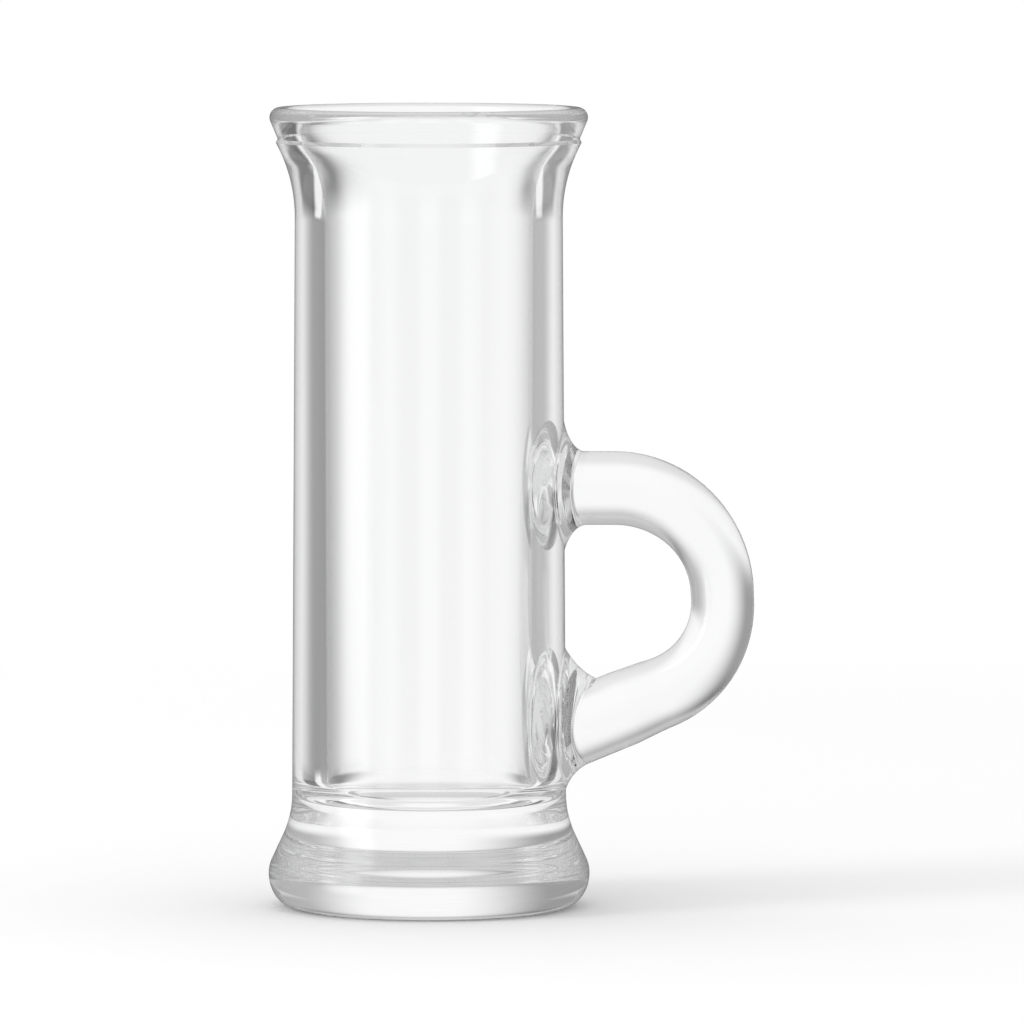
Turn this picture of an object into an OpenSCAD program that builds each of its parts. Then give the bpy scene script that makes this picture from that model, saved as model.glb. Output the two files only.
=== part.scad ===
// Tall clear liqueur glass: a pressed barrel with a flared rim and a heavy foot,
// and a bent glass rod fused to its side as a handle.
// The Z axis is the barrel's axis, Z = 0 is the table, and the handle stands out along +X.

/* [Barrel] */
// Height from the table to the top of the lip
glass_h = 105; // [90:0.5:130]
// Outside diameter of the barrel where the rim starts to flare
barrel_top_d = 35.1; // [33.5:0.1:37]
// Outside diameter of the barrel where the foot starts to flare
barrel_bottom_d = 36; // [34:0.1:37.5]

/* [Rim] */
// Outside diameter of the rim at its widest
rim_d = 41.7; // [40.5:0.1:46]
// Radius of the rounded lip, half of its thickness
lip_r = 1.3; // [1:0.05:1.5]
// Lean of the rim's band away from the upright, in degrees
rim_lean = 25; // [21:0.5:28]
// Radius of the curve from the barrel out to the mould ring
rim_flare_r = 20.5; // [12:0.5:25]
// Lean of that curve where it meets the mould ring, in degrees
flare_lean = 28.5; // [24:0.5:32]
// Drop from the top of the lip to the mould ring, where the halves of the mould met
ring_drop = 4.6; // [3.5:0.1:6]
// How far the band steps in above the mould ring
ring_step = 0.25; // [0.05:0.01:0.3]
// Height of that step
ring_rise = 0.5; // [0.2:0.05:0.8]
// Radius of the curve from the bore out to the mouth
mouth_flare_r = 20; // [12:0.5:24]

/* [Bore] */
// Inside diameter where the mouth starts to flare
bore_top_d = 27.4; // [26:0.1:30]
// Inside diameter just above the rounded corner of the floor
bore_bottom_d = 27; // [25.5:0.1:29.5]
// Radius of the corner between the bore and its floor
floor_corner_r = 3.5; // [1:0.25:8]
// Thickness of the solid glass under the bore
base_t = 13.5; // [8:0.5:20]

/* [Foot] */
// Diameter of the foot at its widest
foot_d = 42.2; // [40:0.1:46]
// Radius of the foot's rounded edge, and the height of its widest place
foot_edge_r = 4.4; // [2:0.1:5]
// How far the rounding under that edge reaches in
foot_under_w = 3.4; // [2:0.1:5]
// Lean of the foot's side away from the upright, in degrees
foot_lean = 25; // [21:0.5:29]
// Radius of the hollow curve between the barrel and the foot
waist_r = 13; // [8:0.5:16]
// Diameter of the hollow under the foot
hollow_d = 27; // [20:0.5:30]
// Depth of the hollow under the foot at its middle
hollow_depth = 1.2; // [0.5:0.1:2.5]

/* [Handle] */
// Distance from the barrel's axis to the rod's axis at the outside of the bend
handle_reach = 38.5; // [36:0.25:44]
// Height of the upper arm's axis
upper_arm_z = 55; // [50:0.25:70]
// Radius of the bend along the rod's axis
bend_r = 14.2; // [12:0.1:15.5]
// Lean of the lower arm below the level, in degrees
lower_arm_lean = 22.5; // [15:0.5:35]
// Diameter of the rod where its arms leave the barrel
arm_d = 9.7; // [8.8:0.1:10.5]
// Diameter of the rod around the bend
bend_d = 8.6; // [7:0.1:9.4]
// Radius of the hollow curve where an arm spreads onto the barrel
root_curve_r = 2.6; // [1:0.1:3.5]
// Angle at which that curve runs out onto the barrel, in degrees
root_runout = 25; // [15:1:40]

/* [Hidden] */
$fn = 96;
glass_tint = [0.88, 0.93, 0.94, 0.45];
arc_steps = 12;
// Shortest straight stretch left between two curves of an outline
least_side = 0.2;
// How far the arms reach under the barrel's surface before they are cut to its shape
root_depth = 6;
// Height and length of the chamfer with which an arm's tip closes over the end of the bend
tip_proud = 0.1;
tip_run = 0.6;

barrel_top_r = barrel_top_d / 2;
barrel_bottom_r = barrel_bottom_d / 2;
rim_r = rim_d / 2;
bore_top_r = bore_top_d / 2;
bore_bottom_r = bore_bottom_d / 2;
foot_r = foot_d / 2;
hollow_r = hollow_d / 2;

// Points of an oval arc about [x, z], from one angle to another
function oval(x, z, rx, rz, from, to) =
    [
        for (i = [0:arc_steps])
            let (a = from + (to - from) * i / arc_steps)
            [x + rx * cos(a), z + rz * sin(a)]
    ];

// Points of a round arc about [x, z], from one angle to another
function arc(x, z, r, from, to) = oval(x, z, r, r, from, to);

// Sideways run of an arc that turns from upright to a lean
function turn(r, lean) = r * (1 - cos(lean));

// Radius of a hollow curve, limited so that it and the edge curve it runs into fit in a sideways run
function fitted(r, run, edge_r, lean) = min(r, (run - least_side * sin(lean)) / (1 - cos(lean)) - edge_r);

// Foot: rounded edge, leaning side, hollow waist, then the barrel
foot_run = foot_r - barrel_bottom_r;
waist_fit_r = fitted(waist_r, foot_run, foot_edge_r, foot_lean);
foot_side = (foot_run - turn(foot_edge_r + waist_fit_r, foot_lean)) / sin(foot_lean);
waist_z = foot_edge_r + (foot_edge_r + waist_fit_r) * sin(foot_lean) + foot_side * cos(foot_lean);
foot_outline = concat(
    oval(foot_r - foot_under_w, foot_edge_r, foot_under_w, foot_edge_r, -90, 0),
    arc(foot_r - foot_edge_r, foot_edge_r, foot_edge_r, foot_lean / arc_steps, foot_lean),
    arc(barrel_bottom_r + waist_fit_r, waist_z, waist_fit_r, 180 + foot_lean, 180)
);

// Rim: hollow flare up to the mould ring, leaning band, then the rounded lip
lip_z = glass_h - lip_r;
ring_z = glass_h - ring_drop;
band_top_r = rim_r - turn(lip_r, rim_lean);
flare_fit_r = min(rim_flare_r, (band_top_r + ring_step - least_side - barrel_top_r) / (1 - cos(flare_lean)));
flare_z = ring_z - flare_fit_r * sin(flare_lean);
rim_outline = concat(
    arc(barrel_top_r + flare_fit_r, flare_z, flare_fit_r, 180, 180 - flare_lean),
    [[barrel_top_r + turn(flare_fit_r, flare_lean) - ring_step, ring_z + ring_rise]],
    arc(rim_r - lip_r, lip_z, lip_r, -rim_lean, 180 - rim_lean)
);

// Mouth and bore: down from the lip's inner side to the middle of the floor
mouth_run = rim_r - lip_r - lip_r * cos(rim_lean) - bore_top_r;
mouth_fit_r = fitted(mouth_flare_r, mouth_run, 0, rim_lean);
mouth_side = (mouth_run - turn(mouth_fit_r, rim_lean)) / sin(rim_lean);
mouth_z = lip_z + (lip_r - mouth_fit_r) * sin(rim_lean) - mouth_side * cos(rim_lean);
bore_outline = concat(
    arc(bore_top_r + mouth_fit_r, mouth_z, mouth_fit_r, 180 - rim_lean, 180),
    arc(bore_bottom_r - floor_corner_r, base_t + floor_corner_r, floor_corner_r, 0, -90),
    [[0, base_t]]
);

// Hollow under the foot: a shallow dome
dome_r = (hollow_r * hollow_r + hollow_depth * hollow_depth) / (2 * hollow_depth);
dome_half_angle = asin(hollow_r / dome_r);
hollow_outline = arc(0, hollow_depth - dome_r, dome_r, 90, 90 - dome_half_angle);

// Handle: the path of the rod's axis in the XZ plane
function barrel_r_at(z) =
    barrel_bottom_r + (barrel_top_r - barrel_bottom_r) * (z - waist_z) / (flare_z - waist_z);
bend_x = handle_reach - bend_r;
bend_z = upper_arm_z - bend_r;
upper_root_x = barrel_r_at(upper_arm_z);
lower_tip_x = bend_x + bend_r * sin(lower_arm_lean);
lower_tip_z = bend_z - bend_r * cos(lower_arm_lean);
lower_arm_len = (lower_tip_x - barrel_r_at(lower_tip_z)) / cos(lower_arm_lean);

// One arm of the handle along +Z, from its spread root on the barrel to its tip at the bend.
// A leaning arm's spread root sits deeper, so that its lower edge just meets the barrel.
module arm(len, lean) {
    root_r = arm_d / 2 + root_curve_r;
    root_z = -root_r * tan(lean);
    tip_r = bend_d / 2;
    rotate_extrude()
        polygon(concat(
            [[0, root_z - root_depth], [root_r, root_z - root_depth], [root_r, root_z]],
            arc(root_r, root_z + root_curve_r, root_curve_r, 270 - root_runout, 180),
            [[tip_r + tip_proud, len], [tip_r - tip_proud, len + tip_run], [0, len + tip_run]]
        ));
}

// The bend of the rod, from the lower arm's tip round to the upper arm's
module bend() {
    translate([bend_x, 0, bend_z])
        rotate([90, 0, 0])
            rotate([0, 0, lower_arm_lean - 90])
                rotate_extrude(angle = 180 - lower_arm_lean)
                    translate([bend_r, 0])
                        circle(d = bend_d);
}

// Everything inside the outer surface of the barrel, rim and foot
module outer_form() {
    rotate_extrude()
        polygon(concat([[0, 0]], foot_outline, rim_outline, [[0, lip_z]]));
}

module body() {
    color(glass_tint)
        rotate_extrude()
            polygon(concat(hollow_outline, foot_outline, rim_outline, bore_outline));
}

module handle() {
    color(glass_tint)
        difference() {
            union() {
                bend();
                translate([upper_root_x, 0, upper_arm_z])
                    rotate([0, 90, 0])
                        arm(bend_x - upper_root_x, 0);
                translate([lower_tip_x, 0, lower_tip_z])
                    rotate([0, 90 - lower_arm_lean, 0])
                        translate([0, 0, -lower_arm_len])
                            arm(lower_arm_len, lower_arm_lean);
            }
            outer_form();
        }
}

body();
handle();
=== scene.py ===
import math
import bpy
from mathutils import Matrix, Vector


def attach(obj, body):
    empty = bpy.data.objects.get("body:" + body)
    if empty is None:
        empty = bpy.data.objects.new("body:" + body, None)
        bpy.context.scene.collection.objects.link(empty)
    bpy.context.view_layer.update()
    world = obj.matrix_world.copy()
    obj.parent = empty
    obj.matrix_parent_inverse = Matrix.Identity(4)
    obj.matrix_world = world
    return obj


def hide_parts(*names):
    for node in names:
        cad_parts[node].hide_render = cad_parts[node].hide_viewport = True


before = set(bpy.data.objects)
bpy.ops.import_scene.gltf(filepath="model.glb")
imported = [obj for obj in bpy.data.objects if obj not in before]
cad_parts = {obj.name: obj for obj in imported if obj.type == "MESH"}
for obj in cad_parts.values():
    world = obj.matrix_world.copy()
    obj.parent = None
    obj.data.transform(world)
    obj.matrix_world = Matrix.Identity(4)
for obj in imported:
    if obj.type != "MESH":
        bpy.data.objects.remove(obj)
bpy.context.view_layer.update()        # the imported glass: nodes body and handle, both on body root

mm = 0.001
print("frame loaded:", sorted(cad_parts))


def clearSelection():
    if bpy.context.object and bpy.context.object.mode != "OBJECT":
        bpy.ops.object.mode_set(mode="OBJECT")
    bpy.ops.object.select_all(action="DESELECT")


def pickFaces(piece, wanted):  # leaves edit mode on, with only the wanted faces selected
    bpy.ops.object.mode_set(mode="EDIT")
    bpy.ops.mesh.select_mode(type="FACE")
    bpy.ops.mesh.select_all(action="DESELECT")
    bpy.ops.object.mode_set(mode="OBJECT")
    for face in piece.data.polygons:
        face.select = wanted(face)
    bpy.ops.object.mode_set(mode="EDIT")


def pickOpenLoops():  # boundary and wire edges of the mesh in edit mode
    bpy.ops.mesh.select_mode(type="EDGE")
    bpy.ops.mesh.select_all(action="DESELECT")
    bpy.ops.mesh.select_non_manifold(extend=False, use_wire=True, use_boundary=True,
                                     use_multi_face=False, use_non_contiguous=False, use_verts=False)


def ovalPoints(x, z, wide, tall, fromDeg, toDeg, steps):
    turns = [math.radians(fromDeg + (toDeg - fromDeg) * i / steps) for i in range(steps + 1)]
    return [(x + wide * math.cos(a), z + tall * math.sin(a)) for a in turns]


def arcPoints(x, z, radius, fromDeg, toDeg, steps):
    return ovalPoints(x, z, radius, radius, fromDeg, toDeg, steps)


def linePoints(start, end, steps):  # inner points of a straight stretch
    return [(start[0] + (end[0] - start[0]) * i / steps, start[1] + (end[1] - start[1]) * i / steps)
            for i in range(1, steps)]


# barrel, rim and foot: one pressed piece, drawn as half an outline and spun
barrel = {
    "height": 105 * mm,
    "topRadius": 17.55 * mm,
    "bottomRadius": 18.0 * mm,
    "boreTop": 13.7 * mm,
    "boreBottom": 13.5 * mm,
    "floorHeight": 13.5 * mm,
    "floorCorner": 3.5 * mm,
    "rows": 43,              # rings of faces up the straight barrel
    "boreRows": 34,
    "cornerSteps": 14,
    "floorRows": 10,
    "spinSteps": 256,
    "weld": 0.002 * mm,
}
rim = {
    "radius": 20.85 * mm,
    "lipRadius": 1.3 * mm,
    "lean": 25,              # degrees, of the band above the mould ring
    "flareRadius": 20.5 * mm,
    "flareLean": 28.5,       # degrees, where the flare meets the mould ring
    "ringDrop": 4.6 * mm,    # from the top of the lip down to the mould ring
    "ringStep": 0.25 * mm,
    "ringRise": 0.5 * mm,
    "mouthFlare": 20 * mm,
    "flareSteps": 18,
    "ringRows": 3,
    "bandRows": 5,
    "lipSteps": 22,
    "mouthRows": 4,
    "mouthSteps": 16,
}
foot = {
    "radius": 21.1 * mm,
    "edgeRadius": 4.4 * mm,
    "underWidth": 3.4 * mm,  # how far the rounding under the edge reaches in
    "lean": 25,
    "waistRadius": 13 * mm,
    "hollowRadius": 13.5 * mm,
    "hollowDepth": 1.2 * mm,
    "hollowSteps": 20,
    "standRows": 6,          # across the ring that it stands on
    "underSteps": 20,
    "edgeSteps": 8,
    "sideRows": 6,
    "waistSteps": 18,
}

footLean = math.radians(foot["lean"])
footRun = foot["radius"] - barrel["bottomRadius"]
footTurn = (foot["edgeRadius"] + foot["waistRadius"]) * (1 - math.cos(footLean))
footSide = (footRun - footTurn) / math.sin(footLean)
waistZ = (foot["edgeRadius"] + (foot["edgeRadius"] + foot["waistRadius"]) * math.sin(footLean)
          + footSide * math.cos(footLean))
ringZ = barrel["height"] - rim["ringDrop"]
flareZ = ringZ - rim["flareRadius"] * math.sin(math.radians(rim["flareLean"]))


def wallRadius(z):
    share = (z - waistZ) / (flareZ - waistZ)
    return barrel["bottomRadius"] + (barrel["topRadius"] - barrel["bottomRadius"]) * share


def undersideOutline():
    depth, reach = foot["hollowDepth"], foot["hollowRadius"]
    domeRadius = (reach ** 2 + depth ** 2) / (2 * depth)
    domeAngle = math.degrees(math.asin(reach / domeRadius))
    dome = arcPoints(0, depth - domeRadius, domeRadius, 90, 90 - domeAngle, foot["hollowSteps"])
    edgeStart = (foot["radius"] - foot["underWidth"], 0)
    return dome + linePoints(dome[-1], edgeStart, foot["standRows"])


def footOutline():
    under = ovalPoints(foot["radius"] - foot["underWidth"], foot["edgeRadius"], foot["underWidth"],
                       foot["edgeRadius"], -90, 0, foot["underSteps"])
    edge = arcPoints(foot["radius"] - foot["edgeRadius"], foot["edgeRadius"], foot["edgeRadius"],
                     0, foot["lean"], foot["edgeSteps"])
    waist = arcPoints(barrel["bottomRadius"] + foot["waistRadius"], waistZ, foot["waistRadius"],
                      180 + foot["lean"], 180, foot["waistSteps"])
    return under + edge[1:] + linePoints(edge[-1], waist[0], foot["sideRows"]) + waist


def rimOutline():
    flare = arcPoints(barrel["topRadius"] + rim["flareRadius"], flareZ, rim["flareRadius"],
                      180, 180 - rim["flareLean"], rim["flareSteps"])
    lipZ = barrel["height"] - rim["lipRadius"]
    lip = arcPoints(rim["radius"] - rim["lipRadius"], lipZ, rim["lipRadius"],
                    -rim["lean"], 180 - rim["lean"], rim["lipSteps"])
    ring = (flare[-1][0] - rim["ringStep"], ringZ + rim["ringRise"])
    step = linePoints(flare[-1], ring, rim["ringRows"]) + [ring]
    return flare + step + linePoints(ring, lip[0], rim["bandRows"]) + lip


def boreOutline(lipEnd):
    lean = math.radians(rim["lean"])
    run = lipEnd[0] - barrel["boreTop"] - rim["mouthFlare"] * (1 - math.cos(lean))
    side = run / math.sin(lean)
    mouthZ = lipEnd[1] - side * math.cos(lean) - rim["mouthFlare"] * math.sin(lean)
    mouth = arcPoints(barrel["boreTop"] + rim["mouthFlare"], mouthZ, rim["mouthFlare"],
                      180 - rim["lean"], 180, rim["mouthSteps"])
    corner = arcPoints(barrel["boreBottom"] - barrel["floorCorner"],
                       barrel["floorHeight"] + barrel["floorCorner"], barrel["floorCorner"],
                       0, -90, barrel["cornerSteps"])
    middle = (0, barrel["floorHeight"])
    return (linePoints(lipEnd, mouth[0], rim["mouthRows"]) + mouth
            + linePoints(mouth[-1], corner[0], barrel["boreRows"]) + corner
            + linePoints(corner[-1], middle, barrel["floorRows"]) + [middle])


def spunBody():
    lower = undersideOutline() + footOutline()
    upper = rimOutline()
    outline = lower + linePoints(lower[-1], upper[0], barrel["rows"]) + upper
    outline += boreOutline(upper[-1])
    clearSelection()
    bpy.ops.mesh.primitive_plane_add(size=1 * mm, location=(0, 0, 0))
    piece = bpy.context.object
    piece.name = "glassBody"
    bpy.ops.object.mode_set(mode="EDIT")
    bpy.ops.mesh.select_all(action="SELECT")
    bpy.ops.mesh.merge(type="CENTER")
    x, z = outline[0]
    bpy.ops.transform.translate(value=(x, 0, z))
    for nextX, nextZ in outline[1:]:
        bpy.ops.mesh.extrude_vertices_move(TRANSFORM_OT_translate={"value": (nextX - x, 0, nextZ - z)})
        x, z = nextX, nextZ
    bpy.ops.mesh.select_all(action="SELECT")
    bpy.ops.mesh.spin(steps=barrel["spinSteps"], angle=2 * math.pi, center=(0, 0, 0), axis=(0, 0, 1))
    bpy.ops.mesh.select_all(action="SELECT")
    bpy.ops.mesh.remove_doubles(threshold=barrel["weld"])
    bpy.ops.mesh.normals_make_consistent(inside=False)
    bpy.ops.object.mode_set(mode="OBJECT")
    return piece


body = spunBody()
print("body spun:", len(body.data.polygons), "faces")

# handle: a round rod bent hot, its two ends spread onto the barrel
handle = {
    "reach": 38.53 * mm,     # axis of the barrel to axis of the rod
    "armHeight": 55.05 * mm,
    "bendRadius": 14.15 * mm,
    "lowerLean": 22.5,       # degrees below the level
    "armRadius": 4.83 * mm,
    "rootRadius": 5.0 * mm,  # of the lower arm at its root
    "sag": 0.4 * mm,         # of the bend's lower half, from its own weight while hot
    "bendWaist": 4.15 * mm,  # thinnest, at the outside of the bend
    "spreadSteps": 12,
    "bendSteps": 40,
    "armStep": 1.2 * mm,
    "wallSteps": 44,         # faces of the wall that one root takes up, around and up
    "wallRows": 12,
    "patchCuts": 5,
    "coreCuts": 4,
    "weld": 0.01 * mm,
    "jointGap": 0.002 * mm,  # keeps the two faces of a joint from lying in the very same place
    "seatTries": 6,          # steps that bring a point along the rod onto the wall
}
# footprint on the wall, the fused core in it, then how far each hollow curve runs out along the rod
roots = {
    "upper": {
        "z": 55.4 * mm, "halfWidth": 7.3 * mm, "halfHeight": 8.5 * mm, "row": 17,
        "coreZ": 55.05 * mm, "coreWidth": 4.9 * mm, "coreHeight": 5.0 * mm,
        "outerRun": 2.8 * mm, "holeRun": 2.7 * mm, "sideRun": 2.0 * mm, "holeWeb": 0.15,
        "end": 3.6 * mm,
    },
    "lower": {
        "z": 24.7 * mm, "halfWidth": 7.3 * mm, "halfHeight": 9.3 * mm, "row": 0,
        "coreZ": 24.9 * mm, "coreWidth": 5.0 * mm, "coreHeight": 5.4 * mm,
        "outerRun": 3.2 * mm, "holeRun": 4.4 * mm, "sideRun": 2.0 * mm, "holeWeb": 0.65,
        "end": 8.2 * mm,
    },
}
rootEdge = math.radians(22)  # angle at which the hollow curves meet the wall
loopCount = 2 * (handle["wallSteps"] + handle["wallRows"])
rowHeight = (flareZ - waistZ) / barrel["rows"]
halfTurn = math.pi * handle["wallSteps"] / barrel["spinSteps"]
wallSkin = 1 * mm      # faces deeper than this aren't the barrel's outer ones
rowSlack = 0.1 * mm    # keeps the points on the edge of a block in it
rootSlack = 1.05       # keeps the points on the edge of a footprint in it


def layOnWall(piece, low, high):  # puts the loose points of a root back on the barrel's surface
    bpy.ops.object.mode_set(mode="OBJECT")
    for point in piece.data.vertices:
        y, z = point.co.y, point.co.z
        if point.select and low - rowSlack < z < high + rowSlack:
            point.co.x = math.sqrt(wallRadius(z) ** 2 - y ** 2)
    bpy.ops.object.mode_set(mode="EDIT")


def openRoot(piece, root):  # swaps a block of wall faces for faces that follow the rod's footprint
    low = waistZ + root["row"] * rowHeight
    high = low + handle["wallRows"] * rowHeight

    def inBlock(face):
        x, y, z = face.center
        outside = x > 0 and math.hypot(x, y) > wallRadius(z) - wallSkin
        return outside and low < z < high and abs(math.atan2(y, x)) < halfTurn

    pickFaces(piece, inBlock)
    bpy.ops.mesh.delete(type="FACE")
    footprint = (root["z"], root["halfWidth"], root["halfHeight"], handle["patchCuts"], 0)
    core = (root["coreZ"], root["coreWidth"], root["coreHeight"], handle["coreCuts"], 2)
    for z, wide, tall, cuts, slot in (footprint, core):
        bpy.ops.mesh.primitive_circle_add(vertices=loopCount, radius=1 * mm, fill_type="NOTHING",
                                          location=(wallRadius(z), 0, z), rotation=(0, math.pi / 2, 0))
        bpy.ops.transform.resize(value=(1, wide / mm, tall / mm), center_override=(0, 0, z))
        pickOpenLoops()
        bpy.ops.mesh.bridge_edge_loops(number_cuts=cuts, interpolation="LINEAR")
        piece.active_material_index = slot
        bpy.ops.object.material_slot_assign()
        bpy.ops.mesh.select_mode(type="VERT")
        layOnWall(piece, low, high)
    pickOpenLoops()
    bpy.ops.mesh.fill_grid(span=loopCount // 4)
    piece.active_material_index = 1
    bpy.ops.object.material_slot_assign()
    bpy.ops.mesh.select_mode(type="VERT")
    layOnWall(piece, low, high)
    bpy.ops.object.mode_set(mode="OBJECT")


clearGlass = bpy.data.materials.new("clearGlass")
fusedJoint = bpy.data.materials.new("fusedJoint")
for material in (clearGlass, fusedJoint, clearGlass):  # the wall, the joints' cores, the rest of the joints
    body.data.materials.append(material)
for root in roots.values():
    openRoot(body, root)
jointFaces = sum(face.material_index > 0 for face in body.data.polygons)
print("roots opened on the wall:", jointFaces, "joint faces")

across = Vector((0, 1, 0))
bendCentre = Vector((handle["reach"] - handle["bendRadius"], 0,
                     handle["armHeight"] - handle["bendRadius"]))
lowerTurn = math.radians(handle["lowerLean"]) - math.pi / 2  # where the bend ends, counted up from +X


def outward(turn):  # from the bend's centre, in the handle's plane
    return Vector((math.cos(turn), 0, math.sin(turn)))


def rodRadius(turn):
    return handle["bendWaist"] + (handle["armRadius"] - handle["bendWaist"]) * math.sin(turn) ** 2


def onWall(y, z):
    return Vector((math.sqrt(wallRadius(z) ** 2 - y ** 2), y, z))


def ringPlace(centre, side, radius):  # a round ring of the rod
    return lambda turn: centre + radius * (math.cos(turn) * across + math.sin(turn) * side)


def spreadPlace(root, axisPoint, along, side, radius, step):  # a ring of the hollow curve onto the wall
    share = step / handle["spreadSteps"]
    bow = rootEdge + share * (math.pi / 2 - rootEdge)
    end = axisPoint + along * root["end"]

    def place(turn):
        corner = end + radius * (math.cos(turn) * across + math.sin(turn) * side)
        for _ in range(handle["seatTries"]):  # back along the rod until it meets the wall
            corner -= along * ((corner.x - onWall(corner.y, corner.z).x) / along.x)
        tall = math.sin(turn) ** 2
        onHole = math.sin(turn) < 0
        run = root["sideRun"] * (1 - tall) + root["holeRun" if onHole else "outerRun"] * tall
        web = root["holeWeb"] * tall if onHole else 0  # 0 a round hollow, 1 a straight web
        fold = (1 - web) * (1 - math.sin(bow)) / (1 - math.sin(rootEdge)) + web * (1 - share)
        lift = (1 - web) * (1 - math.cos(bow) / math.cos(rootEdge)) + web * share
        y = root["halfWidth"] * math.cos(turn)
        z = root["z"] + root["halfHeight"] * math.sin(turn) * math.copysign(1, side.z)
        base = onWall(corner.y + (y - corner.y) * fold, corner.z + (z - corner.z) * fold)
        return base + along * run * lift

    return place


def startHandle(piece):  # copies the joint faces off the body
    pickFaces(piece, lambda face: face.material_index > 0)
    bpy.ops.mesh.duplicate()
    bpy.ops.mesh.separate(type="SELECTED")
    bpy.ops.object.mode_set(mode="OBJECT")
    rod = [o for o in bpy.context.selected_objects if o != piece][0]
    rod.name = "glassHandle"
    clearSelection()
    bpy.context.view_layer.objects.active = rod
    rod.select_set(True)
    return rod


def pickRootEdge(rod, root, side):  # selects one cap's open edge, gives each point's turn round the rod
    bpy.ops.object.mode_set(mode="EDIT")
    pickOpenLoops()
    bpy.ops.object.mode_set(mode="OBJECT")
    points = rod.data.vertices
    near = [abs(p.co.z - root["z"]) < rootSlack * root["halfHeight"] for p in points]
    for edge in rod.data.edges:
        edge.select = edge.select and near[edge.vertices[0]] and near[edge.vertices[1]]
    turns = {}
    for point in points:
        point.select = point.select and near[point.index]
        if point.select:
            up = (point.co.z - root["z"]) / root["halfHeight"] * math.copysign(1, side.z)
            turns[tuple(point.co)] = math.atan2(up, point.co.y / root["halfWidth"])
    bpy.ops.object.mode_set(mode="EDIT")
    return turns


def growRing(rod, turns, place):
    bpy.ops.mesh.extrude_edges_move()
    bpy.ops.object.mode_set(mode="OBJECT")
    grown = {}
    for point in rod.data.vertices:
        if point.select:
            turn = turns[tuple(point.co)]
            point.co = place(turn)
            grown[tuple(point.co)] = turn
    bpy.ops.object.mode_set(mode="EDIT")
    return grown


def bentHandle(piece):
    rod = startHandle(piece)
    lower, upper = roots["lower"], roots["upper"]
    spread = range(1, handle["spreadSteps"] + 1)
    tip = bendCentre + handle["bendRadius"] * outward(lowerTurn)
    down = outward(lowerTurn)
    along = Vector((-down.z, 0, down.x))  # from the barrel out to the bend
    seat = tip.copy()
    for _ in range(handle["seatTries"]):  # back along the lower arm to the wall
        seat -= along * ((seat.x - onWall(0, seat.z).x) / along.x)
    turns = pickRootEdge(rod, lower, down)
    for step in spread:
        place = spreadPlace(lower, seat, along, down, handle["rootRadius"], step)
        turns = growRing(rod, turns, place)
    turns = growRing(rod, turns, ringPlace(seat + along * lower["end"], down, handle["rootRadius"]))
    up = outward(math.pi / 2)
    start = onWall(0, handle["armHeight"])
    turns = pickRootEdge(rod, upper, up)
    for step in spread:
        place = spreadPlace(upper, start, Vector((1, 0, 0)), up, handle["armRadius"], step)
        turns = growRing(rod, turns, place)
    armStart = start.x + upper["end"]
    count = math.ceil((bendCentre.x - armStart) / handle["armStep"])
    for step in range(count):
        centre = Vector((armStart + (bendCentre.x - armStart) * step / count, 0, handle["armHeight"]))
        turns = growRing(rod, turns, ringPlace(centre, up, handle["armRadius"]))
    for step in range(handle["bendSteps"] + 1):
        turn = math.pi / 2 + (lowerTurn - math.pi / 2) * step / handle["bendSteps"]
        sag = handle["sag"] * math.sin(math.pi * min(turn, 0) / lowerTurn)
        centre = bendCentre + (handle["bendRadius"] + sag) * outward(turn)
        turns = growRing(rod, turns, ringPlace(centre, outward(turn), rodRadius(turn)))
    lowerLength = (tip - seat).length - lower["end"]
    count = math.ceil(lowerLength / handle["armStep"])
    for step in range(1, count + 1):
        share = step / count
        radius = rodRadius(lowerTurn) + (handle["rootRadius"] - rodRadius(lowerTurn)) * share
        turns = growRing(rod, turns, ringPlace(tip - along * lowerLength * share, down, radius))
    bpy.ops.mesh.select_all(action="SELECT")
    bpy.ops.mesh.remove_doubles(threshold=handle["weld"])
    bpy.ops.mesh.normals_make_consistent(inside=False)
    bpy.ops.object.mode_set(mode="OBJECT")
    return rod


rod = bentHandle(body)


def inCore(y, z):
    return any(math.hypot(y / root["coreWidth"], (z - root["coreZ"]) / root["coreHeight"]) < 1
               for root in roots.values())


jointPoints = set()
for face in rod.data.polygons:
    x, y, z = face.center
    onJoint = face.normal.x < 0 and math.hypot(x, y) < wallRadius(z) + handle["weld"]
    face.material_index = 1 if onJoint and inCore(y, z) else 0
    if onJoint:
        jointPoints.update(face.vertices)
for v in jointPoints:
    rod.data.vertices[v].co.x += handle["jointGap"]
print("handle bent:", len(rod.data.polygons), "faces")

smoothAngle = math.radians(40)  # sharper edges stay crisp


def finishPiece(piece, node):
    clearSelection()
    bpy.context.view_layer.objects.active = piece
    piece.select_set(True)
    bpy.ops.object.shade_smooth_by_angle(angle=smoothAngle)
    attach(piece, "root")
    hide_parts(node)


finishPiece(body, "body")
finishPiece(rod, "handle")


# the marks of pressing and drawing that both pieces of glass carry
glassLook = {
    "ior": 1.5,
    "barrelWaves": 60,
    "barrelStretch": (1, 1, 0.4),  # waves run up the barrel
    "rodWaves": 90,
    "rodStretch": (1, 1, 1),
    "waveHeight": 0.01 * mm,
    "waveDetail": 1.5,
    "waveRoughness": 0.4,
    "haze": 0.01,                  # roughness where it is smeared most
    "hazeRange": (0.55, 0.8),
    "cloudScale": 35,
    "cloudDetail": 3,
    "tintRange": (0.3, 0.7),
    "tints": ((0.992, 0.996, 0.995, 1), (1, 1, 1, 1)),
}


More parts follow.
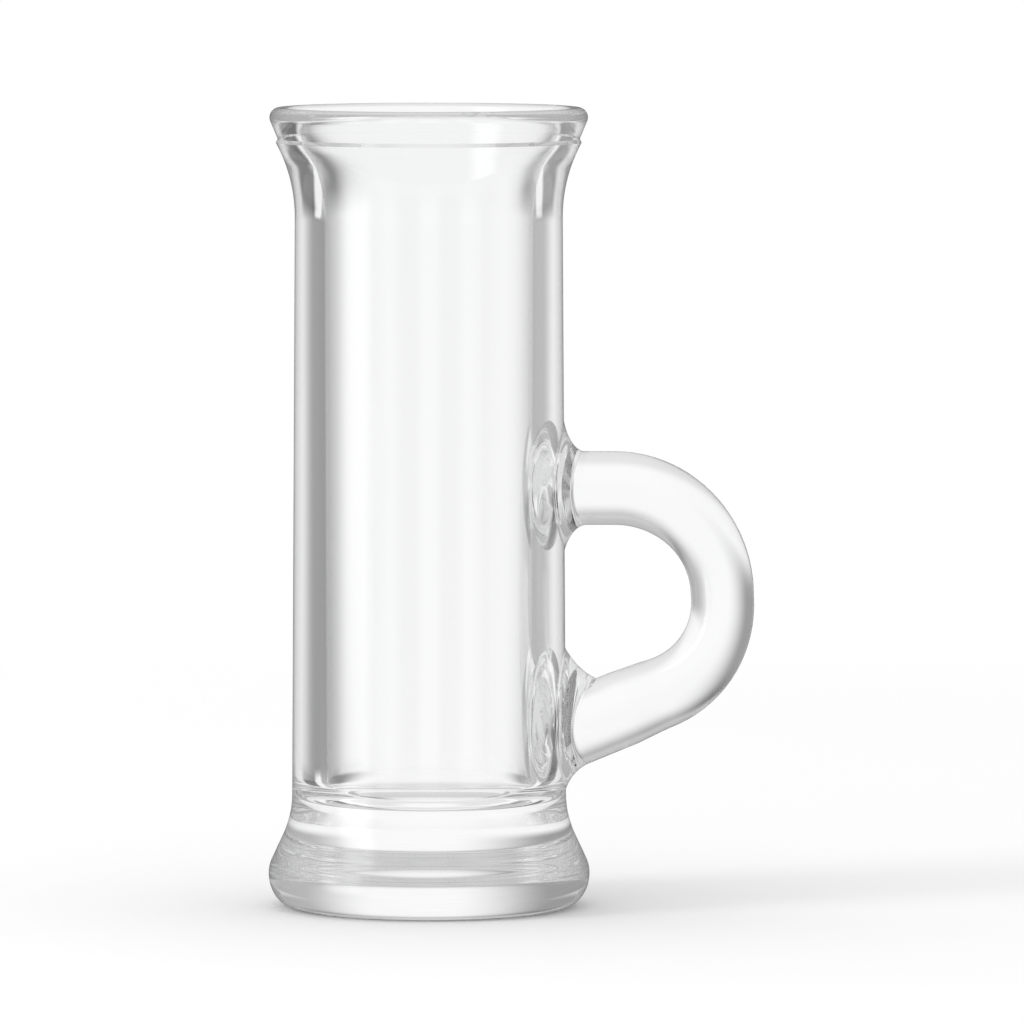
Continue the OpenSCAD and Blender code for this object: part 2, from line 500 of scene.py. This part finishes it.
def pressedGroup():
    group = bpy.data.node_groups.new("pressedGlass", "ShaderNodeTree")
    face = group.interface
    face.new_socket("Vector", in_out="INPUT", socket_type="NodeSocketVector")
    for name in ("Wave Scale", "Haze"):
        face.new_socket(name, in_out="INPUT", socket_type="NodeSocketFloat")
    face.new_socket("Tint", in_out="OUTPUT", socket_type="NodeSocketColor")
    face.new_socket("Roughness", in_out="OUTPUT", socket_type="NodeSocketFloat")
    face.new_socket("Height", in_out="OUTPUT", socket_type="NodeSocketFloat")
    nodes, links = group.nodes, group.links
    inlet = nodes.new("NodeGroupInput")
    outlet = nodes.new("NodeGroupOutput")
    wave = nodes.new("ShaderNodeTexNoise")
    wave.inputs["Detail"].default_value = glassLook["waveDetail"]
    wave.inputs["Roughness"].default_value = glassLook["waveRoughness"]
    links.new(inlet.outputs["Vector"], wave.inputs["Vector"])
    links.new(inlet.outputs["Wave Scale"], wave.inputs["Scale"])
    links.new(wave.outputs["Fac"], outlet.inputs["Height"])
    cloud = nodes.new("ShaderNodeTexNoise")
    cloud.inputs["Scale"].default_value = glassLook["cloudScale"]
    cloud.inputs["Detail"].default_value = glassLook["cloudDetail"]
    links.new(inlet.outputs["Vector"], cloud.inputs["Vector"])
    tint = nodes.new("ShaderNodeValToRGB")
    for stop, position, color in zip(tint.color_ramp.elements, glassLook["tintRange"], glassLook["tints"]):
        stop.position = position
        stop.color = color
    links.new(cloud.outputs["Fac"], tint.inputs["Fac"])
    links.new(tint.outputs["Color"], outlet.inputs["Tint"])
    smear = nodes.new("ShaderNodeMapRange")
    smear.inputs["From Min"].default_value, smear.inputs["From Max"].default_value = glassLook["hazeRange"]
    links.new(cloud.outputs["Fac"], smear.inputs["Value"])
    links.new(inlet.outputs["Haze"], smear.inputs["To Max"])
    links.new(smear.outputs["Result"], outlet.inputs["Roughness"])
    return group


pressed = pressedGroup()


def clearShader(material, ior, stretch):
    material.use_nodes = True
    nodes, links = material.node_tree.nodes, material.node_tree.links
    shader = nodes["Principled BSDF"]
    shader.inputs["Metallic"].default_value = 0
    shader.inputs["Roughness"].default_value = 0
    shader.inputs["Transmission Weight"].default_value = 1
    shader.inputs["IOR"].default_value = ior
    place = nodes.new("ShaderNodeTexCoord")
    turn = nodes.new("ShaderNodeMapping")
    turn.inputs["Scale"].default_value = stretch
    marks = nodes.new("ShaderNodeGroup")
    marks.node_tree = pressed
    links.new(place.outputs["Object"], turn.inputs["Vector"])
    links.new(turn.outputs["Vector"], marks.inputs["Vector"])
    links.new(marks.outputs["Tint"], shader.inputs["Base Color"])
    return nodes, links, shader, marks


def outerGlass(material, waves, stretch):
    nodes, links, shader, marks = clearShader(material, glassLook["ior"], stretch)
    marks.inputs["Wave Scale"].default_value = waves
    marks.inputs["Haze"].default_value = glassLook["haze"]
    bump = nodes.new("ShaderNodeBump")
    bump.inputs["Strength"].default_value = 1
    bump.inputs["Distance"].default_value = glassLook["waveHeight"]
    links.new(marks.outputs["Roughness"], shader.inputs["Roughness"])
    links.new(marks.outputs["Height"], bump.inputs["Height"])
    links.new(bump.outputs["Normal"], shader.inputs["Normal"])


outerGlass(clearGlass, glassLook["barrelWaves"], glassLook["barrelStretch"])
clearShader(fusedJoint, 1.0, glassLook["rodStretch"])  # no step in the glass where the rod is fused on
rodGlass = bpy.data.materials.new("rodGlass")
outerGlass(rodGlass, glassLook["rodWaves"], glassLook["rodStretch"])
rod.data.materials[0] = rodGlass
rod.data.materials[2] = rodGlass
print("glass materials made")

# pale round floor that fades into the white around it
paleGround = {
    "radius": 0.45,
    "sides": 96,
    "drop": 0.02 * mm,       # under the foot
    "fadeFrom": 0.25,
    "fadeTo": 0.441,
    "mottle": 12,
    "paleFrom": (0.945, 0.945, 0.945, 1),
    "paleTo": (0.955, 0.955, 0.955, 1),
}
clearSelection()
bpy.ops.mesh.primitive_circle_add(vertices=paleGround["sides"], radius=paleGround["radius"],
                                  fill_type="NGON", location=(0, 0, -paleGround["drop"]))
floor = bpy.context.object
floor.name = "paleFloor"
bpy.ops.object.transform_apply(location=True, rotation=True, scale=True)
floor.visible_transmission = False
floor.visible_glossy = False
paleFloor = bpy.data.materials.new("paleFloor")
paleFloor.use_nodes = True
nodes, links = paleFloor.node_tree.nodes, paleFloor.node_tree.links
shader = nodes["Principled BSDF"]
shader.inputs["Roughness"].default_value = 1
shader.inputs["Specular IOR Level"].default_value = 0
place = nodes.new("ShaderNodeTexCoord")
length = nodes.new("ShaderNodeVectorMath")
length.operation = "LENGTH"
fade = nodes.new("ShaderNodeMapRange")
fade.interpolation_type = "SMOOTHSTEP"
fade.inputs["From Min"].default_value = paleGround["fadeFrom"]
fade.inputs["From Max"].default_value = paleGround["fadeTo"]
fade.inputs["To Min"].default_value = 1
fade.inputs["To Max"].default_value = 0
mottle = nodes.new("ShaderNodeTexNoise")
mottle.inputs["Scale"].default_value = paleGround["mottle"]
pale = nodes.new("ShaderNodeValToRGB")
pale.color_ramp.elements[0].color = paleGround["paleFrom"]
pale.color_ramp.elements[1].color = paleGround["paleTo"]
links.new(place.outputs["Object"], mottle.inputs["Vector"])
links.new(mottle.outputs["Fac"], pale.inputs["Fac"])
links.new(pale.outputs["Color"], shader.inputs["Base Color"])
links.new(place.outputs["Object"], length.inputs[0])
links.new(length.outputs["Value"], fade.inputs["Value"])
links.new(fade.outputs["Result"], shader.inputs["Alpha"])
floor.data.materials.append(paleFloor)
print("floor laid")

# white surround with soft grey panels, as the glass shows it
# angles are in degrees, left of straight behind the glass and up from the level
# every eighth of a turn stays white for the other sides
# a panel with a least depth is only for light that met the glass that often, so the rod stays clear of it
panelKeys = ("left", "halfWidth", "soft", "up", "halfHeight", "softUp", "level", "leastDepth")
panels = {
    "left": (52, 30, 34, 11, 22, 12, 0.34, 0),
    "right": (-49, 23, 28, 11, 22, 12, 0.5, 0),
    "lowLeft": (30, 19, 12, -19, 10.5, 8, 0.17, 3),
    "lowFarLeft": (64, 12, 10, -20, 10, 6, 0.6, 3),
    "lowRight": (-33, 18, 12, -19, 10.5, 8, 0.35, 3),
    "lowFarRight": (-62, 12, 10, -20, 10, 6, 0.65, 3),
    "leftBar": (45, 5, 6, -50, 41, 5, 6.0, 3),
    "rightBar": (-45, 5, 6, -50, 41, 5, 3.0, 3),
    "highLeft": (62, 36, 12, 9, 9, 6, 0.6, 3),
    "highRight": (-62, 38, 12, 9, 9, 6, 0.25, 3),
    "sideLeft": (112.5, 12, 10, -10, 22, 8, 0.5, 0),
    "sideRight": (-112.5, 12, 10, -10, 22, 8, 0.5, 0),
    "nearLeft": (157.5, 12, 10, -10, 22, 8, 0.5, 0),
    "nearRight": (-157.5, 12, 10, -10, 22, 8, 0.5, 0),
    "highFront": (180, 78, 14, 14, 16, 14, 0.5, 0),
    "ceiling": (0, 400, 20, 62, 40, 20, 0.6, 0),
    "low": (0, 400, 16, -52, 18, 16, 0.82, 0),
}
shine = {                    # what its outside mirrors: a tall soft window
    "left": 115,
    "halfWidth": 14,
    "soft": 16,
    "up": 20,
    "halfHeight": 40,
    "softUp": 16,
    "level": 2.6,
    "surround": 0.15,
}
deepLight = {                # light that turned about inside the glass comes from all round
    "from": 6,
    "to": 12,
    "level": 0.78,           # after as many turns as a root gives it
    "longFrom": 11,
    "longTo": 27,
    "longLevel": 0.48,       # after as many as the foot gives it
}
floorFill = 0.98             # light that the floor gets from all round


def mathNode(tree, operation, first, second=None, third=None):
    node = tree.nodes.new("ShaderNodeMath")
    node.operation = operation
    for socket, value in zip(node.inputs, (first, second, third)):
        if isinstance(value, bpy.types.NodeSocket):
            tree.links.new(value, socket)
        elif value is not None:
            socket.default_value = value
    return node.outputs["Value"]


def panelGroup():  # how far a direction lies inside a soft-edged panel, 0 to 1
    group = bpy.data.node_groups.new("softPanel", "ShaderNodeTree")
    names = ("Turn", "Height", "Left", "Half Width", "Soft", "Up", "Half Height", "Soft Up")
    for name in names:
        group.interface.new_socket(name, in_out="INPUT", socket_type="NodeSocketFloat")
    group.interface.new_socket("Inside", in_out="OUTPUT", socket_type="NodeSocketFloat")
    inlet = group.nodes.new("NodeGroupInput")
    outlet = group.nodes.new("NodeGroupOutput")
    spread = {}
    axes = (("Turn", "Left", "Half Width", "Soft"), ("Height", "Up", "Half Height", "Soft Up"))
    for seen, middle, half, soft in axes:
        away = mathNode(group, "SUBTRACT", inlet.outputs[seen], inlet.outputs[middle])
        away = mathNode(group, "ABSOLUTE", mathNode(group, "WRAP", away, 180, -180))
        depth = mathNode(group, "SUBTRACT", inlet.outputs[half], away)
        depth = mathNode(group, "DIVIDE", depth, inlet.outputs[soft])
        edge = group.nodes.new("ShaderNodeMapRange")
        edge.interpolation_type = "SMOOTHSTEP"
        edge.inputs["From Min"].default_value = -0.5
        edge.inputs["From Max"].default_value = 0.5
        group.links.new(depth, edge.inputs["Value"])
        spread[seen] = edge.outputs["Result"]
    inside = mathNode(group, "MULTIPLY", spread["Turn"], spread["Height"])
    group.links.new(inside, outlet.inputs["Inside"])
    return group


def studioWorld():
    world = bpy.data.worlds.new("whiteSurround")
    bpy.context.scene.world = world
    world.use_nodes = True
    tree = world.node_tree
    nodes, links = tree.nodes, tree.links
    place = nodes.new("ShaderNodeTexCoord")
    split = nodes.new("ShaderNodeSeparateXYZ")
    links.new(place.outputs["Generated"], split.inputs["Vector"])
    left = mathNode(tree, "MULTIPLY", split.outputs["X"], -1)
    turn = mathNode(tree, "DEGREES", mathNode(tree, "ARCTAN2", left, split.outputs["Y"]))
    height = mathNode(tree, "DEGREES", mathNode(tree, "ARCSINE", split.outputs["Z"]))
    group = panelGroup()

    def inside(panel):
        node = nodes.new("ShaderNodeGroup")
        node.node_tree = group
        links.new(turn, node.inputs["Turn"])
        links.new(height, node.inputs["Height"])
        for name, key in (("Left", "left"), ("Half Width", "halfWidth"), ("Soft", "soft"), ("Up", "up"),
                          ("Half Height", "halfHeight"), ("Soft Up", "softUp")):
            node.inputs[name].default_value = panel[key]
        return node.outputs["Inside"]

    path = nodes.new("ShaderNodeLightPath")
    through = 1.0
    for panel in (dict(zip(panelKeys, values)) for values in panels.values()):
        least = panel["leastDepth"] + 0.5  # half way between two whole counts
        met = mathNode(tree, "GREATER_THAN", path.outputs["Ray Depth"], least)
        shade = mathNode(tree, "MULTIPLY", inside(panel), met)
        level = mathNode(tree, "MULTIPLY_ADD", shade, panel["level"] - 1, 1.0)
        through = mathNode(tree, "MULTIPLY", level, through)
    through = mathNode(tree, "MINIMUM", through, 1)

    def byDepth(start, end, low, high):
        node = nodes.new("ShaderNodeMapRange")
        node.interpolation_type = "SMOOTHSTEP"
        for name, value in (("From Min", start), ("From Max", end), ("To Min", low), ("To Max", high)):
            node.inputs[name].default_value = value
        links.new(path.outputs["Ray Depth"], node.inputs["Value"])
        return node.outputs["Result"]

    even = byDepth(deepLight["longFrom"], deepLight["longTo"], deepLight["level"], deepLight["longLevel"])
    deep = byDepth(deepLight["from"], deepLight["to"], 0, 1)
    rest = mathNode(tree, "SUBTRACT", even, through)
    through = mathNode(tree, "MULTIPLY_ADD", deep, rest, through)
    window = shine["level"] - shine["surround"]
    mirrored = mathNode(tree, "MULTIPLY_ADD", inside(shine), window, shine["surround"])
    bounced = mathNode(tree, "SUBTRACT", path.outputs["Is Glossy Ray"], path.outputs["Is Transmission Ray"])
    bounced = mathNode(tree, "MAXIMUM", bounced, 0)  # a ray through the glass counts as glossy too
    levels = [(path.outputs["Is Camera Ray"], 1.0), (path.outputs["Is Diffuse Ray"], floorFill),
              (bounced, mirrored), (path.outputs["Is Transmission Ray"], through)]
    total = 0.0
    for ray, level in levels:
        total = mathNode(tree, "MULTIPLY_ADD", ray, level, total)
    nodes["Background"].inputs["Color"].default_value = (1, 1, 1, 1)
    links.new(total, nodes["Background"].inputs["Strength"])


studioWorld()
print("surround made")

softbox = {
    "width": 0.25,
    "height": 0.7,
    "distance": 0.75,
    "turn": 65,              # degrees to the left of the camera
    "tilt": 80,              # degrees up from facing the floor
    "middle": 0.3,
    "power": 2.2,
}
side = math.radians(softbox["turn"])
clearSelection()
bpy.ops.object.light_add(type="AREA", location=(-softbox["distance"] * math.sin(side),
                                                -softbox["distance"] * math.cos(side), softbox["middle"]),
                         rotation=(math.radians(softbox["tilt"]), 0, -side))
lamp = bpy.context.object
lamp.name = "tallSoftbox"
lamp.data.shape = "RECTANGLE"
lamp.data.size = softbox["width"]
lamp.data.size_y = softbox["height"]
lamp.data.energy = softbox["power"]
lamp.visible_glossy = False       # its soft mirror image is in the surround
lamp.visible_transmission = False

photoView = {
    "distance": 1.36,
    "height": 0.148,
    "sideways": 10.9 * mm,
    "aimHeight": 51.9 * mm,
    "lens": 365.2,
    "sensor": 36,
    "clip": (0.05, 20),
}
glassTurns = 128             # light turns about inside the foot and the rod
clearSelection()
pitch = math.atan2(photoView["height"] - photoView["aimHeight"], photoView["distance"])
bpy.ops.object.camera_add(location=(photoView["sideways"], -photoView["distance"], photoView["height"]),
                          rotation=(math.pi / 2 - pitch, 0, 0))
camera = bpy.context.object
camera.name = "photoCamera"
camera.data.lens = photoView["lens"]
camera.data.sensor_width = photoView["sensor"]
camera.data.clip_start, camera.data.clip_end = photoView["clip"]
scene = bpy.context.scene
scene.camera = camera
scene.view_settings.view_transform = "Standard"
scene.cycles.max_bounces = glassTurns
scene.cycles.glossy_bounces = glassTurns
scene.cycles.transmission_bounces = glassTurns
scene.cycles.transparent_max_bounces = 32
print("lamp and camera placed")
